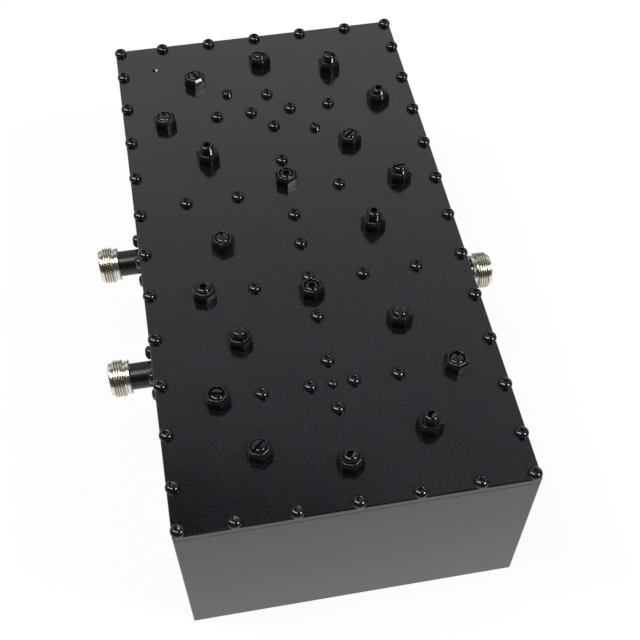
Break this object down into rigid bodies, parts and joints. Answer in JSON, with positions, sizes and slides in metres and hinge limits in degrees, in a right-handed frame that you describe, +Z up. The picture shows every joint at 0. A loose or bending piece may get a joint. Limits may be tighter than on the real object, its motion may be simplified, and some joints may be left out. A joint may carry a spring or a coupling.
{
  "type": "rf filter",
  "caption": "Black box-shaped cavity filter: flat screwed lid with hex-nut locked tuning screws, threaded coaxial sockets on both long sides.",
  "frame": {"origin": "centre of the housing's underside", "axes": "+Z up out of the lid; +Y along the box, away from the end nearest the viewer; +X to the side with one socket"},
  "size_m": [0.1721, 0.2752, 0.09],
  "materials": {
    "black_coat": "satin powder coat",
    "painted_hardware": "gloss paint",
    "silver_plate": "silver plated",
    "steel": "satin",
    "nickel_plate": "bright nickel",
    "white_insulator": "matte",
    "gold_plate": "polished",
    "copper_wire": "satin"
  },
  "bodies": {
    "chassis": {"housing": "black_coat", "lid": "black_coat", "rim_screws": "painted_hardware", "wall_screws": "painted_hardware", "crossing_screw": "painted_hardware", "lock_nuts": "painted_hardware", "resonator_1": "silver_plate", "resonator_2": "silver_plate", "resonator_3": "silver_plate", "resonator_4": "silver_plate", "resonator_5": "silver_plate", "resonator_6": "silver_plate", "resonator_7": "silver_plate", "resonator_8": "silver_plate", "resonator_9": "silver_plate", "resonator_10": "silver_plate", "resonator_screws": "steel", "rear_left_connector": "nickel_plate", "front_left_connector": "nickel_plate", "right_connector": "nickel_plate", "rear_left_insulator": "white_insulator", "front_left_insulator": "white_insulator", "right_insulator": "white_insulator", "rear_left_contact": "gold_plate", "front_left_contact": "gold_plate", "right_contact": "gold_plate", "rear_left_coupling_wire": "copper_wire", "front_left_coupling_wire": "copper_wire", "right_coupling_wire": "copper_wire", "connector_screws": "painted_hardware", "probe_rod": "copper_wire", "probe_bush": "white_insulator"},
    "resonator_tuner_1_body": {"resonator_tuner_1": "painted_hardware"},
    "resonator_tuner_2_body": {"resonator_tuner_2": "painted_hardware"},
    "resonator_tuner_3_body": {"resonator_tuner_3": "painted_hardware"},
    "resonator_tuner_4_body": {"resonator_tuner_4": "painted_hardware"},
    "resonator_tuner_5_body": {"resonator_tuner_5": "painted_hardware"},
    "resonator_tuner_6_body": {"resonator_tuner_6": "painted_hardware"},
    "resonator_tuner_7_body": {"resonator_tuner_7": "painted_hardware"},
    "resonator_tuner_8_body": {"resonator_tuner_8": "painted_hardware"},
    "resonator_tuner_9_body": {"resonator_tuner_9": "painted_hardware"},
    "resonator_tuner_10_body": {"resonator_tuner_10": "painted_hardware"},
    "coupling_tuner_1_body": {"coupling_tuner_1": "painted_hardware"},
    "coupling_tuner_2_body": {"coupling_tuner_2": "painted_hardware"},
    "coupling_tuner_3_body": {"coupling_tuner_3": "painted_hardware"},
    "coupling_tuner_4_body": {"coupling_tuner_4": "painted_hardware"},
    "coupling_tuner_5_body": {"coupling_tuner_5": "painted_hardware"},
    "coupling_tuner_6_body": {"coupling_tuner_6": "painted_hardware"},
    "coupling_tuner_7_body": {"coupling_tuner_7": "painted_hardware"},
    "coupling_tuner_8_body": {"coupling_tuner_8": "painted_hardware"},
    "coupling_tuner_9_body": {"coupling_tuner_9": "painted_hardware"},
    "coupling_tuner_10_body": {"coupling_tuner_10": "painted_hardware"},
    "rear_trimmer_body": {"rear_trimmer": "painted_hardware"},
    "front_trimmer_body": {"front_trimmer": "painted_hardware"}
  },
  "joints": [
    {"name": "resonator_tuner_1_travel", "type": "slide", "parent": "chassis", "child": "resonator_tuner_1_body", "axis": [0, 0, 1], "range_m": [-0.0025, 0.006]},
    {"name": "resonator_tuner_2_travel", "type": "slide", "parent": "chassis", "child": "resonator_tuner_2_body", "axis": [0, 0, 1], "range_m": [-0.0058, 0.0027]},
    {"name": "resonator_tuner_3_travel", "type": "slide", "parent": "chassis", "child": "resonator_tuner_3_body", "axis": [0, 0, 1], "range_m": [-0.0063, 0.0022]},
    {"name": "resonator_tuner_4_travel", "type": "slide", "parent": "chassis", "child": "resonator_tuner_4_body", "axis": [0, 0, 1], "range_m": [-0.0025, 0.006]},
    {"name": "resonator_tuner_5_travel", "type": "slide", "parent": "chassis", "child": "resonator_tuner_5_body", "axis": [0, 0, 1], "range_m": [-0.0025, 0.006]},
    {"name": "resonator_tuner_6_travel", "type": "slide", "parent": "chassis", "child": "resonator_tuner_6_body", "axis": [0, 0, 1], "range_m": [-0.0064, 0.0021]},
    {"name": "resonator_tuner_7_travel", "type": "slide", "parent": "chassis", "child": "resonator_tuner_7_body", "axis": [0, 0, 1], "range_m": [-0.0055, 0.003]},
    {"name": "resonator_tuner_8_travel", "type": "slide", "parent": "chassis", "child": "resonator_tuner_8_body", "axis": [0, 0, 1], "range_m": [-0.0035, 0.005]},
    {"name": "resonator_tuner_9_travel", "type": "slide", "parent": "chassis", "child": "resonator_tuner_9_body", "axis": [0, 0, 1], "range_m": [-0.003, 0.0055]},
    {"name": "resonator_tuner_10_travel", "type": "slide", "parent": "chassis", "child": "resonator_tuner_10_body", "axis": [0, 0, 1], "range_m": [-0.0062, 0.0023]},
    {"name": "coupling_tuner_1_travel", "type": "slide", "parent": "chassis", "child": "coupling_tuner_1_body", "axis": [0, 0, 1], "range_m": [-0.003, 0.0055]},
    {"name": "coupling_tuner_2_travel", "type": "slide", "parent": "chassis", "child": "coupling_tuner_2_body", "axis": [0, 0, 1], "range_m": [-0.0022, 0.0063]},
    {"name": "coupling_tuner_3_travel", "type": "slide", "parent": "chassis", "child": "coupling_tuner_3_body", "axis": [0, 0, 1], "range_m": [-0.002, 0.0065]},
    {"name": "coupling_tuner_4_travel", "type": "slide", "parent": "chassis", "child": "coupling_tuner_4_body", "axis": [0, 0, 1], "range_m": [-0.004, 0.0045]},
    {"name": "coupling_tuner_5_travel", "type": "slide", "parent": "chassis", "child": "coupling_tuner_5_body", "axis": [0, 0, 1], "range_m": [-0.0024, 0.0061]},
    {"name": "coupling_tuner_6_travel", "type": "slide", "parent": "chassis", "child": "coupling_tuner_6_body", "axis": [0, 0, 1], "range_m": [-0.0041, 0.0044]},
    {"name": "coupling_tuner_7_travel", "type": "slide", "parent": "chassis", "child": "coupling_tuner_7_body", "axis": [0, 0, 1], "range_m": [-0.0046, 0.0039]},
    {"name": "coupling_tuner_8_travel", "type": "slide", "parent": "chassis", "child": "coupling_tuner_8_body", "axis": [0, 0, 1], "range_m": [-0.0033, 0.0052]},
    {"name": "coupling_tuner_9_travel", "type": "slide", "parent": "chassis", "child": "coupling_tuner_9_body", "axis": [0, 0, 1], "range_m": [-0.002, 0.0065]},
    {"name": "coupling_tuner_10_travel", "type": "slide", "parent": "chassis", "child": "coupling_tuner_10_body", "axis": [0, 0, 1], "range_m": [-0.002, 0.0065]},
    {"name": "rear_trimmer_travel", "type": "slide", "parent": "chassis", "child": "rear_trimmer_body", "axis": [0, 0, 1], "range_m": [-0.0015, 0.003]},
    {"name": "front_trimmer_travel", "type": "slide", "parent": "chassis", "child": "front_trimmer_body", "axis": [0, 0, 1], "range_m": [-0.0015, 0.003]}
  ]
}
